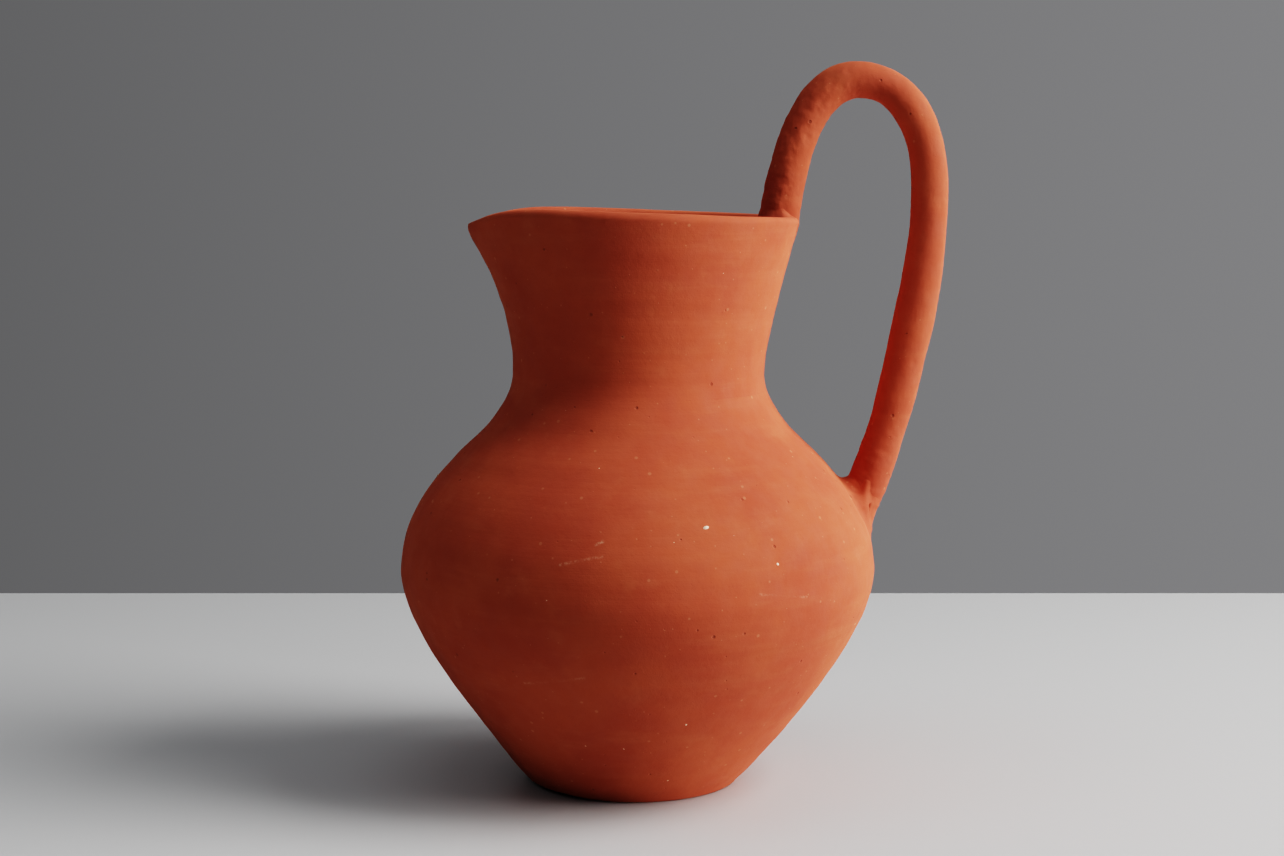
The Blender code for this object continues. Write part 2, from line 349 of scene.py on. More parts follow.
def belly_section():
    """Middle of the floor, inside wall, seam, outside wall, foot, middle of the base; and marks shares."""
    inside = stretch_of(INSIDE, FLOOR_THICKNESS + 5.0 * MM, SEAM_HEIGHT - SEAM_FALL)
    cove = inside[0]
    floor = [[0.0, FLOOR_THICKNESS], [cove[0] - 8.0 * MM, FLOOR_THICKNESS]]
    floor = np.vstack([resampled(floor, INNER_STEP), [[cove[0] - 3.4 * MM, FLOOR_THICKNESS + 1.2 * MM]]])
    inside = resampled(inside, INNER_STEP)
    support = stretch_of(OUTSIDE, SEAM_HEIGHT - EDGE_SUPPORT, SEAM_HEIGHT)[::-1]
    outside = resampled(stretch_of(OUTSIDE, BASE_ROUNDING, SEAM_HEIGHT - EDGE_SUPPORT)[::-1], OUTER_STEP)
    outside = np.vstack([support[:1], outside])
    edge = outside[-1]
    foot = [
        [edge[0] - 0.35 * BASE_ROUNDING, 0.45 * BASE_ROUNDING],
        [edge[0] - 0.85 * BASE_ROUNDING, 0.12 * BASE_ROUNDING],
        [edge[0] - 1.6 * BASE_ROUNDING, 0.0],
    ]
    base = resampled([foot[-1], [0.0, 0.0]], INNER_STEP)[1:]
    section = np.vstack([floor, inside, outside, foot, base])
    inner = np.full(len(inside), INSIDE_MARKS)
    under = np.zeros(len(foot) + len(base))
    shares = np.concatenate([np.zeros(len(floor)), inner, np.ones(len(outside)), under])
    ramp = rise(section[:, 1], 0.0, 6.0 * MM)
    return section, shares * ramp


def lift_foot(points):
    """The base isn't true: from its middle towards the spout it leaves the table by up to the foot's lift."""
    cut = FOOT_LIFT * rise(-points[..., 0], 1.0 * MM, 36.0 * MM)
    height = points[..., 2]
    points[..., 2] = np.where(height < FLOOR_THICKNESS - 2.0 * MM, np.maximum(height, cut), height)
    return points


def make_belly():
    """The lower vessel, closed by its floor and its base."""
    section, shares = belly_section()
    first = int(np.argmax(section[:, 1]))
    last = first + int(np.argmax(section[first:, 1] < BASE_ROUNDING))
    points = turned_points(section, section_normals(section, slice(first, last)), ANGLES, shares)
    return dish_object("belly_clay", lift_foot(points))


LIP_RADIUS = 2.4 * MM
LIP_STEPS = 16
NECK_STEP = 1.5 * MM


def neck_section():
    """Inside going up, round the lip, outside going down, bevelled foot; marks shares, depths in the wall."""
    top = RIM_HEIGHT - LIP_RADIUS
    inside = resampled(stretch_of(INSIDE, SEAM_HEIGHT - SEAM_FALL, top), NECK_STEP)
    outside = resampled(stretch_of(OUTSIDE, SEAM_HEIGHT + EDGE_SUPPORT, top)[::-1], OUTER_STEP * 0.7)
    outside = np.vstack([outside, stretch_of(OUTSIDE, SEAM_HEIGHT - 0.5 * EDGE_SUPPORT, SEAM_HEIGHT)[:1]])
    middle = 0.5 * (outside[0] + inside[-1])
    reach = 0.5 * np.linalg.norm(outside[0] - inside[-1])
    turns = np.linspace(0.0, math.pi, LIP_STEPS)[1:-1]
    lip = middle + np.stack([-reach * np.cos(turns), 0.92 * LIP_RADIUS * np.sin(turns)], 1)
    bevel = resampled([outside[-1], inside[0]], NECK_STEP)[1:-1]
    section = np.vstack([inside, lip, outside, bevel])
    inner = np.full(len(inside), INSIDE_MARKS)
    shares = np.concatenate([inner, np.ones(len(lip) + len(outside)), np.zeros(len(bevel))])
    outer = np.zeros(len(outside) + len(bevel))
    depth = np.concatenate([np.ones(len(inside)), 0.5 + 0.5 * np.cos(turns), outer])
    return section, shares, depth


def make_neck():
    """The flared neck with its lip and spout, a closed ring."""
    section, shares, depth = neck_section()
    around = np.vstack([section[-1:], section, section[:1]])
    first = 2 + int(np.argmax((depth == 0.0) & (section[:, 1] < RIM_HEIGHT - LIP_RADIUS - 1.0 * MM)))
    last = 2 + int(np.argmax(section[:, 0] == section[section[:, 1] < SEAM_HEIGHT][:, 0].max()))
    normals = section_normals(around, slice(first, last))[1:-1]
    return ring_object("neck_clay", turned_points(section, normals, ANGLES, shares, depth))


# ---------------------------------------------------------------- handle


HANDLE_STEPS = 80
COIL_SPACING = 0.55 * MM
COIL_SIDES = 96


def handle_path():
    """Dense points (x, z, radius) of the coil's centre line."""
    path = []
    for lower, upper in zip(HANDLE_KNOTS, HANDLE_KNOTS[1:]):
        ends = []
        for knot, reach in ((lower, lower[4]), (upper, -upper[3])):
            turn = math.radians(knot[2])
            place = Vector(knot[:2])
            ends.append((place, place + reach * Vector((math.cos(turn), math.sin(turn)))))
        line = interpolate_bezier(ends[0][0], ends[0][1], ends[1][1], ends[1][0], HANDLE_STEPS)
        shares = rise(np.linspace(0.0, 1.0, HANDLE_STEPS), 0.0, 1.0)
        radii = COIL_RADIUS * (lower[5] + (upper[5] - lower[5]) * shares)
        path += [(point.x, point.y, radius) for point, radius in zip(line, radii)][:-1]
    path.append((HANDLE_KNOTS[-1][0], HANDLE_KNOTS[-1][1], COIL_RADIUS * HANDLE_KNOTS[-1][5]))
    return np.array(path)


def path_frames(path):
    """Unit directions along a path of (x, z, radius) points, shares of its length, and the length."""
    along = np.gradient(path[:, :2], axis=0)
    along /= np.linalg.norm(along, axis=1)[:, None]
    length = np.concatenate([[0.0], np.cumsum(np.linalg.norm(np.diff(path[:, :2], axis=0), axis=1))])
    return along, length / length[-1], length[-1]


# Swellings, finger dents and pits of the coil: share of its length, turn round it (0 faces out of the
# loop), size, and depth, which is negative for a swelling.
COIL_DENTS = (
    (0.220, math.radians(0.0), 15.0 * MM, -0.80 * MM),
    (0.430, math.radians(180.0), 12.0 * MM, 0.50 * MM),
    (0.730, math.radians(180.0), 16.0 * MM, -0.80 * MM),
    (0.030, math.radians(-100.0), 3.2 * MM, 0.35 * MM),
    (0.075, math.radians(-60.0), 4.5 * MM, 0.30 * MM),
    (0.115, math.radians(-85.0), 1.3 * MM, 0.26 * MM),
    (0.150, math.radians(-112.0), 1.7 * MM, 0.24 * MM),
    (0.163, math.radians(-98.0), 1.0 * MM, 0.20 * MM),
    (0.205, math.radians(-95.0), 1.2 * MM, 0.26 * MM),
    (0.240, math.radians(-75.0), 2.2 * MM, 0.20 * MM),
    (0.300, math.radians(-45.0), 1.6 * MM, 0.18 * MM),
    (0.520, math.radians(-60.0), 1.1 * MM, 0.20 * MM),
    (0.600, math.radians(60.0), 5.0 * MM, 0.30 * MM),
    (0.760, math.radians(-70.0), 1.2 * MM, 0.22 * MM),
    (0.900, math.radians(-80.0), 3.0 * MM, 0.30 * MM),
    (0.940, math.radians(-120.0), 4.0 * MM, 0.35 * MM),
    (0.930, math.radians(80.0), 5.0 * MM, 0.35 * MM),
)


def coil_marks(share, turn, radius, total):
    """How far the coil's surface stands off its round section: rolling, finger dents and pits."""
    around = turn / FULL_TURN
    marks = 0.20 * MM * lattice_noise(around * 0.0, share, 1, 16, 51)
    marks += 0.22 * MM * lattice_noise(around, share, 3, 14, 52)
    marks += 0.10 * MM * lattice_noise(around, share, 6, 40, 53)
    worked = 1.0 - rise(share, 0.14, 0.36) + 0.6 * rise(share, 0.82, 0.94)
    marks += (0.050 + 0.060 * worked) * MM * lattice_noise(around, share, 18, 130, 54)
    marks += (0.026 + 0.034 * worked) * MM * lattice_noise(around, share, 40, 280, 55)
    roots = 1.0 - rise(share, 0.0, 0.16) + rise(share, 0.86, 1.0)
    wiped = lattice_noise(around, share, 4, 60, 56) * lattice_noise(around, share, 2, 170, 57)
    marks += 0.30 * MM * roots * wiped
    for place, side, size, depth in COIL_DENTS:
        away = np.hypot((share - place) * total, turn_between(turn, side) * radius)
        marks -= depth * bell(away, size)
    return marks


def swept_points(path, sides):
    """Rings round a path in the XZ plane, with the rolled coil's unevenness."""
    along, share, total = path_frames(path)
    turns = np.linspace(0.0, FULL_TURN, sides, endpoint=False)[None, :]
    share = share[:, None] + np.zeros_like(turns)
    radius = path[:, 2][:, None] + np.zeros_like(share)
    radius = radius + coil_marks(share, turns + np.zeros_like(share), radius, total)
    sideways = radius * np.sin(turns)
    across = radius * np.cos(turns)
    x = path[:, 0][:, None] + across * -along[:, 1][:, None]
    z = path[:, 1][:, None] + across * along[:, 0][:, None]
    return np.stack([x, sideways, z], -1)


def capped_tube(name, points):
    """A tube through rings of points, closed at both ends."""
    rows, columns = points.shape[:2]
    verts = points.reshape(-1, 3)
    faces = grid_faces(rows, columns, False, True)
    faces.append(list(range(columns))[::-1])
    faces.append([(rows - 1) * columns + column for column in range(columns)])
    return object_from(name, verts, faces)


def make_handle():
    """The rolled coil, from inside the rim to the shoulder."""
    return capped_tube("handle_coil", swept_points(resampled(handle_path(), COIL_SPACING), COIL_SIDES))


# ---------------------------------------------------------------- clay smeared over the handle's joints


SQUARE = 0.2 * MM
SQUARE_SHIFT = 100000
SQUARE_STRIDE = 1000000
BATCH = 20000
LINE_SPACING = 0.3 * MM


def nearest_on(points, line):
    """Index of the nearest of a line's points for each 2-D point, found once for each small square."""
    square = np.round(points / SQUARE).astype(np.int64) + SQUARE_SHIFT
    squares, back = np.unique(square[:, 0] * SQUARE_STRIDE + square[:, 1], return_inverse=True)
    middles = (np.stack([squares // SQUARE_STRIDE, squares % SQUARE_STRIDE], 1) - SQUARE_SHIFT) * SQUARE
    nearest = np.empty(len(middles), int)
    for start in range(0, len(middles), BATCH):
        part = middles[start:start + BATCH]
        gaps = (part[:, 0:1] - line[None, :, 0]) ** 2 + (part[:, 1:2] - line[None, :, 1]) ** 2
        nearest[start:start + BATCH] = np.argmin(gaps, axis=1)
    return nearest[back.reshape(-1)]


class WallDistance:
    """Signed distance to the finished wall of a turned section, positive off the clay."""

    def __init__(self, section, shares, low, high):
        closed = np.column_stack([section, shares])
        dense = resampled(closed, LINE_SPACING)
        normals = section_normals(dense[:, :2])
        near = (dense[:, 1] > low) & (dense[:, 1] < high)
        self.line, self.shares, self.normals = dense[near, :2], dense[near, 2], normals[near]

    def __call__(self, points):
        x, y, z = points[:, 0] - lean_at(points[:, 2]), points[:, 1], points[:, 2]
        angle = np.arctan2(y, x)
        from_spout = np.abs(np.arctan2(y, -x))
        z = z - MOUTH_TILT * (1.0 + np.cos(from_spout)) * rise(z, TILT_START, RIM_HEIGHT)
        flat = np.stack([np.hypot(x, y) - out_of_round(angle, z), z], 1)
        found = nearest_on(flat, self.line)
        gap = flat - self.line[found]
        normal = self.normals[found]
        off = gap[:, 0] * normal[:, 0] + gap[:, 1] * normal[:, 1]
        reach = np.linalg.norm(gap, axis=1)
        distance = np.where(reach > 1.0 * MM, np.sign(off) * reach, off)
        level = self.line[found, 1]
        return distance - self.shares[found] * (hand_marks(angle, level) + seam_mark(angle, level))


class CoilDistance:
    """Signed distance to the handle's coil, with its marks."""

    def __init__(self):
        self.path = resampled(handle_path(), LINE_SPACING)
        self.along, self.share, self.total = path_frames(self.path)

    def __call__(self, points):
        found = nearest_on(points[:, (0, 2)], self.path)
        gap = points[:, (0, 2)] - self.path[found, :2]
        along = self.along[found]
        across = -gap[:, 0] * along[:, 1] + gap[:, 1] * along[:, 0]
        past = gap[:, 0] * along[:, 0] + gap[:, 1] * along[:, 1]
        radius = self.path[found, 2]
        turn = np.arctan2(points[:, 1], across)
        reach = np.sqrt(across ** 2 + points[:, 1] ** 2 + past ** 2)
        return reach - radius - coil_marks(self.share[found], turn, radius, self.total)


def lump_distance(points, start_mm, end_mm, start_radius_mm, end_radius_mm, broad=1.0):
    """Signed distance to a tapered round-ended lump, given in millimetres; broad stretches it sideways."""
    start = [part * MM for part in start_mm]
    end = [part * MM for part in end_mm]
    start_radius, end_radius = start_radius_mm * MM, end_radius_mm * MM
    place = points / np.array([1.0, broad, 1.0])
    start = np.array(start)
    span = np.array(end) - start
    share = np.clip((place - start) @ span / (span @ span), 0.0, 1.0)
    reach = np.linalg.norm(place - start - share[:, None] * span, axis=1)
    return reach - (start_radius + (end_radius - start_radius) * share)


def melted(first, second, reach):
    """Union of two signed distances, filleted where both are within reach."""
    close = np.maximum(reach - np.abs(first - second), 0.0) / reach
    return np.minimum(first, second) - 0.25 * reach * close * close


def lattice_noise_3d(points, size, seed):
    """Smooth noise in -1..1 in space, its lumps about size across."""
    table = np.random.default_rng(seed).uniform(-1.0, 1.0, (32, 32, 32))
    place = points / size
    cell = np.floor(place).astype(int)
    part = place - cell
    part = part * part * (3.0 - 2.0 * part)
    total = np.zeros(len(points))
    for i in (0, 1):
        for j in (0, 1):
            for k in (0, 1):
                weight = np.abs(1 - i - part[:, 0]) * np.abs(1 - j - part[:, 1]) * np.abs(1 - k - part[:, 2])
                corner = (cell + (i, j, k)) % 32
                total += weight * table[corner[:, 0], corner[:, 1], corner[:, 2]]
    return total


def surface_net(name, distance, low, high, step):
    """A closed mesh on a distance's zero level: one vertex in each grid cell that the surface crosses."""
    counts = [int(math.ceil((top - bottom) / step)) + 1 for bottom, top in zip(low, high)]
    axes = [bottom + step * np.arange(count) for bottom, count in zip(low, counts)]
    grid = np.stack(np.meshgrid(*axes, indexing="ij"), -1).reshape(-1, 3)
    field = distance(grid).reshape(counts)
    inside = field < 0.0
    cells = tuple(count - 1 for count in counts)
    total = np.zeros(cells + (3,))
    crossings = np.zeros(cells)
    faces = []
    for axis in range(3):
        side, other = (axis + 1) % 3, (axis + 2) % 3
        for a in (0, 1):
            for b in (0, 1):
                start = [slice(0, count) for count in cells]
                start[side] = slice(a, cells[side] + a)
                start[other] = slice(b, cells[other] + b)
                end = list(start)
                end[axis] = slice(1, cells[axis] + 1)
                first, second = field[tuple(start)], field[tuple(end)]
                crossed = (first < 0.0) != (second < 0.0)
                share = np.where(crossed, first / np.where(crossed, first - second, 1.0), 0.0)
                total[..., axis] += share
                total[..., side] += a * crossed
                total[..., other] += b * crossed
                crossings += crossed
    used = crossings > 0
    number = np.full(cells, -1)
    number[used] = np.arange(used.sum())
    corner = np.argwhere(used)
    verts = np.array(low) + step * (corner + total[used] / crossings[used][:, None])
    for axis in range(3):
        side, other = (axis + 1) % 3, (axis + 2) % 3
        first = np.take(inside, range(counts[axis] - 1), axis)
        second = np.take(inside, range(1, counts[axis]), axis)
        for leaving in (True, False):
            edges = np.argwhere((first & ~second) if leaving else (~first & second))
            edges = edges[(edges[:, side] > 0) & (edges[:, other] > 0)]
            ring = []
            for a, b in ((1, 1), (0, 1), (0, 0), (1, 0)):
                cell = edges.copy()
                cell[:, side] -= a
                cell[:, other] -= b
                ring.append(number[cell[:, 0], cell[:, 1], cell[:, 2]])
            quads = np.stack(ring if leaving else ring[::-1], 1)
            faces += quads.tolist()
    for _ in range(2):
        verts = verts - settle(verts, distance)
    return object_from(name, verts, faces)


def settle(points, distance):
    """The step that brings points near a distance's zero level onto it."""
    tiny = 0.05 * MM
    value = distance(points)
    slope = np.stack([(distance(points + tiny * axis) - value) / tiny for axis in np.eye(3)], 1)
    steepness = np.maximum((slope ** 2).sum(1), 0.3)
    step = value[:, None] * slope / steepness[:, None]
    return np.clip(step, -0.3 * MM, 0.3 * MM)


SMEAR_STEP = 0.5 * MM
SMEAR_SINK = 0.10 * MM
MEETING_REACH = 5.0 * MM


def smeared(points, on_wall, root, joined, coarse, fine):
    """The joined clay, sunk a little, and roughened where coil and wall meet.

    coarse and fine are the depth and size in millimetres, and the seed, of each roughness.
    """
    meeting = np.clip(1.0 - np.abs(on_wall - root) / MEETING_REACH, 0.0, 1.0)
    rough = 0.0
    for depth, size, seed in (coarse, fine):
        rough = rough + depth * MM * lattice_noise_3d(points, size * MM, seed)
    return joined + SMEAR_SINK - meeting * rough


def make_bottom_smear():
    """The coil's lower end, pressed out on the shoulder and wiped down to a point on the belly."""
    wall = WallDistance(*belly_section(), 60.0 * MM, 135.0 * MM)
    coil = CoilDistance()

    def clay(points):
        on_wall = wall(points)
        root = coil(points)
        wedge = lump_distance(points, (79.4, 0.0, 99.4), (80.9, 0.0, 90.6), 6.2, 1.3, 1.25)
        tongue = lump_distance(points, (81.0, -6.1, 107.2), (79.4, -5.9, 100.0), 1.2, 2.6)
        ridge = lump_distance(points, (79.4, -5.9, 100.0), (80.4, -4.2, 92.0), 2.6, 1.0)
        cheek = lump_distance(points, (76.6, 4.8, 102.0), (79.6, 4.0, 91.0), 3.0, 1.4)
        root = melted(melted(root, wedge, 1.8 * MM), cheek, 2.4 * MM)
        root = melted(root, np.minimum(tongue, ridge), 0.9 * MM)
        joined = melted(on_wall, root, 6.0 * MM)
        joined = smeared(points, on_wall, root, joined, (0.16, 3.1, 61), (0.10, 1.3, 62))
        nick = lump_distance(points, (81.8, -7.2, 99.6), (82.0, -7.0, 97.4), 0.5, 0.4)
        joined = np.maximum(joined, -nick)
        limit = lump_distance(points, (80.0, 0.0, 84.0), (80.5, 0.0, 110.0), 10.0, 12.0, 1.25)
        return np.maximum(np.maximum(joined, limit), -(on_wall + 3.2 * MM))

    low = (60.0 * MM, -18.0 * MM, 72.0 * MM)
    high = (96.0 * MM, 18.0 * MM, 124.0 * MM)
    return surface_net("handle_bottom_smear", clay, low, high, SMEAR_STEP)


def make_top_smear():
    """The coil's upper end, worked over the lip and wiped down the inside of the neck."""
    section, shares, _ = neck_section()
    closed = np.vstack([section, section[:1]])
    wall = WallDistance(closed, np.append(shares, shares[0]), 165.0 * MM, 215.0 * MM)
    coil = CoilDistance()

    def clay(points):
        on_wall = wall(points)
        root = coil(points)
        wipe = lump_distance(points, (48.4, 0.0, 196.0), (46.6, 0.0, 184.0), 6.0, 2.2, 1.35)
        shoulder = lump_distance(points, (51.5, -4.6, 199.2), (50.0, 6.2, 199.0), 2.3, 2.6)
        root = melted(melted(root, wipe, 4.0 * MM), shoulder, 2.0 * MM)
        out = rise(np.hypot(points[:, 0], points[:, 1]), 50.5 * MM, 55.5 * MM)
        joined = melted(on_wall, root + 0.5 * MM * out, (5.0 - 4.2 * out) * MM)
        joined = smeared(points, on_wall, root, joined, (0.14, 3.4, 71), (0.10, 1.4, 72))
        limit = lump_distance(points, (50.0, 0.0, 186.0), (50.5, 0.0, 208.0), 11.0, 11.0, 1.45)
        return np.maximum(joined, limit)

    low = (32.0 * MM, -20.0 * MM, 172.0 * MM)
    high = (66.0 * MM, 20.0 * MM, 222.0 * MM)
    return surface_net("handle_top_smear", clay, low, high, SMEAR_STEP)


# ---------------------------------------------------------------- grit in the clay


def on_surface(angle, height):
    """A point of the finished outside of the vessel and the outward direction there."""
    around, level = np.atleast_1d(float(angle)), np.atleast_1d(float(height))
    radius = np.interp(level, OUTSIDE[:, 1], OUTSIDE[:, 0]) + hand_marks(around, level)
    point = shape_vessel(np.stack([radius * np.cos(around), radius * np.sin(around), level], -1))[0]
    out, up = [float(np.interp(height, OUTSIDE[:, 1], NORMALS[:, axis])) for axis in (0, 1)]
    return Vector(point), Vector((out * math.cos(angle), out * math.sin(angle), up))


# Grains that stand out: angle, height, radius, how far they are sunk as a share of the radius.
BIG_GRAINS = (
    (math.radians(-73.0), 101.8 * MM, 1.15 * MM, 0.55),
    (math.radians(-176.5), 109.5 * MM, 0.60 * MM, 0.10),
    (math.radians(-20.0), 61.0 * MM, 0.70 * MM, 0.70),
    (math.radians(64.0), 88.0 * MM, 0.80 * MM, 0.70),
    (math.radians(137.0), 60.0 * MM, 0.75 * MM, 0.65),
    (math.radians(-56.0), 89.0 * MM, 0.75 * MM, 0.62),
    (math.radians(-75.0), 34.0 * MM, 0.80 * MM, 0.62),
    (math.radians(-94.0), 24.5 * MM, 0.65 * MM, 0.62),
    (math.radians(-107.0), 25.0 * MM, 0.65 * MM, 0.62),
    (math.radians(-76.0), 10.0 * MM, 0.60 * MM, 0.62),
)
LIME_GRAIN = BIG_GRAINS[0]
LIME_REACH_MM = 3.0
SMALL_GRAINS = 85
SMALL_GRAIN_SUNK = 0.72
SEAM_CLEARANCE = 2.0 * MM
RIM_CLEARANCE = 12.0 * MM


def make_grit():
    """Grains of grog and lime that break the vessel's skin, flattened by the potter's rib."""
    chance = np.random.default_rng(5)
    grains = list(BIG_GRAINS)
    for _ in range(SMALL_GRAINS):
        angle = chance.uniform(-math.pi, math.pi)
        height = chance.uniform(4.0, 196.0) * MM
        radius = (0.22 + 0.30 * chance.random() ** 3) * MM
        if abs(height - SEAM_HEIGHT) > SEAM_CLEARANCE and height < RIM_HEIGHT - RIM_CLEARANCE:
            grains.append((angle, height, radius, SMALL_GRAIN_SUNK))
    grit = bmesh.new()
    for angle, height, radius, sunk in grains:
        point, out = on_surface(angle, height)
        turn = out.to_track_quat("Z", "Y").to_matrix().to_4x4()
        flat = Matrix.Diagonal((*chance.uniform(0.8, 1.25, 2), 0.8, 1.0))
        spin = Matrix.Rotation(chance.uniform(0.0, FULL_TURN), 4, "Z")
        place = Matrix.Translation(point - sunk * radius * out) @ turn @ spin @ flat
        made = bmesh.ops.create_icosphere(grit, subdivisions=2, radius=radius, matrix=place)
        for vertex in made["verts"]:
            away = vertex.co - place.translation
            vertex.co = place.translation + away * chance.uniform(0.90, 1.08)
    mesh = bpy.data.meshes.new("clay_grit")
    grit.to_mesh(mesh)
    grit.free()
    mesh.shade_smooth()
    result = bpy.data.objects.new("clay_grit", mesh)
    bpy.context.scene.collection.objects.link(result)
    return result


# ---------------------------------------------------------------- materials


class Nodes:
    """A short way to write a material's node tree."""

    def __init__(self, name):
        self.material = bpy.data.materials.new(name)
        self.material.use_nodes = True
        self.tree = self.material.node_tree
        self.shader = self.tree.nodes["Principled BSDF"]
        coordinates = self.tree.nodes.new("ShaderNodeTexCoord")
        self.place = self.scaled(coordinates.outputs["Object"], (1.0 / MM,) * 3)

    def new(self, kind, links=None, **settings):
        node = self.tree.nodes.new(kind)
        for name, value in settings.items():
            setattr(node, name, value)
        for socket, value in (links or {}).items():
            self.put(node.inputs[socket], value)
        return node

    def put(self, socket, value):
        if isinstance(value, bpy.types.NodeSocket):
            self.tree.links.new(value, socket)
        else:
            socket.default_value = value

    def vector(self, operation, first, second=None):
        """A vector operation's node."""
        links = {0: first} if second is None else {0: first, 1: second}
        return self.new("ShaderNodeVectorMath", links, operation=operation)

    def scaled(self, vector, factors):
        return self.vector("MULTIPLY", vector, factors).outputs[0]

    def maths(self, operation, first, second=0.0, clamp=False):
        node = self.new("ShaderNodeMath", {0: first, 1: second}, operation=operation, use_clamp=clamp)
        return node.outputs[0]

    def noise(self, size, detail=3.0, roughness=0.55, squash=(1.0, 1.0, 1.0), seed=0.0):
        """Noise whose lumps are about size millimetres, squashed along each axis."""
        factors = tuple(part / size for part in squash)
        vector = self.scaled(self.place, factors)
        if seed:
            vector = self.vector("ADD", vector, (seed, seed * 1.7, -seed)).outputs[0]
        node = self.new("ShaderNodeTexNoise", {"Vector": vector, "Scale": 1.0, "Detail": detail})
        node.inputs["Roughness"].default_value = roughness
        return node.outputs["Fac"]

    def between(self, value, low, high, to_low=0.0, to_high=1.0):
        node = self.new("ShaderNodeMapRange", {0: value, 1: low, 2: high, 3: to_low, 4: to_high})
        node.interpolation_type = "SMOOTHSTEP"
        return node.outputs[0]

    def blend(self, amount, first, second):
        node = self.new("ShaderNodeMix", data_type="RGBA")
        self.put(node.inputs[0], amount)
        self.put(node.inputs[6], first)
        self.put(node.inputs[7], second)
        return node.outputs[2]

    def scuff(self, start, end, width):
        """1 on a straight line between two points in metres, 0 from its width in millimetres away."""
        first = tuple(start / MM)
        span = Vector(end / MM) - Vector(first)
        away = self.vector("SUBTRACT", self.place, first).outputs[0]
        along = self.vector("DOT_PRODUCT", away, tuple(span / span.length_squared))
        share = self.maths("MULTIPLY", along.outputs["Value"], 1.0, clamp=True)
        foot = self.vector("SCALE", tuple(span))
        self.put(foot.inputs["Scale"], share)
        reach = self.vector("DISTANCE", away, foot.outputs[0])
        return self.between(reach.outputs["Value"], 0.0, width, 1.0, 0.0)

    def specks(self, cell, soft, largest, rarity, seed):
        """Round specks, one at most in each cell: 1 inside, 0 outside. Lengths are in millimetres.

        soft is the width of a speck's edge, and rarity is the share of cells left empty.
        """
        vector = self.scaled(self.place, (1.0 / cell,) * 3)
        moved = self.vector("ADD", vector, (seed, 2 * seed, 3 * seed))
        cells = self.new("ShaderNodeTexVoronoi", {"Vector": moved.outputs[0], "Scale": 1.0})
        chance = self.new("ShaderNodeSeparateColor", {0: cells.outputs["Color"]})
        size = self.between(chance.outputs[0], rarity, 1.0, 0.0, 1.0)
        edge = self.maths("MULTIPLY", size, largest / cell)
        near = self.maths("SUBTRACT", edge, cells.outputs["Distance"])
        return self.between(near, 0.0, soft / cell)


# Scuffs left by handling: angle and height of both ends, width in millimetres, strength.
SCUFFS = (
    (math.radians(-107.5), 90.5 * MM, math.radians(-98.0), 93.5 * MM, 0.8, 0.55),
    (math.radians(-99.6), 96.8 * MM, math.radians(-98.0), 98.0 * MM, 0.9, 0.70),
    (math.radians(-120.0), 48.5 * MM, math.radians(-103.0), 52.5 * MM, 0.9, 0.35),
    (math.radians(-61.5), 80.0 * MM, math.radians(-48.0), 77.0 * MM, 0.7, 0.35),
    (math.radians(70.0), 70.0 * MM, math.radians(92.0), 78.0 * MM, 0.8, 0.45),
    (math.radians(150.0), 112.0 * MM, math.radians(160.0), 106.0 * MM, 0.9, 0.45),
)

RED_CLAY = (0.455, 0.103, 0.055, 1.0)
ORANGE_CLAY = (0.510, 0.128, 0.064, 1.0)
BLOOM = (0.575, 0.182, 0.092, 1.0)
# The dark clay colour: dark grains in the clay, and also painted shade in the pits.
DARK_GRAIN_AND_PAINTED_SHADE = (0.230, 0.052, 0.030, 1.0)
GROG = (0.690, 0.350, 0.200, 1.0)
SCUFFED = (0.690, 0.380, 0.260, 1.0)
LIME = (0.780, 0.600, 0.460, 1.0)


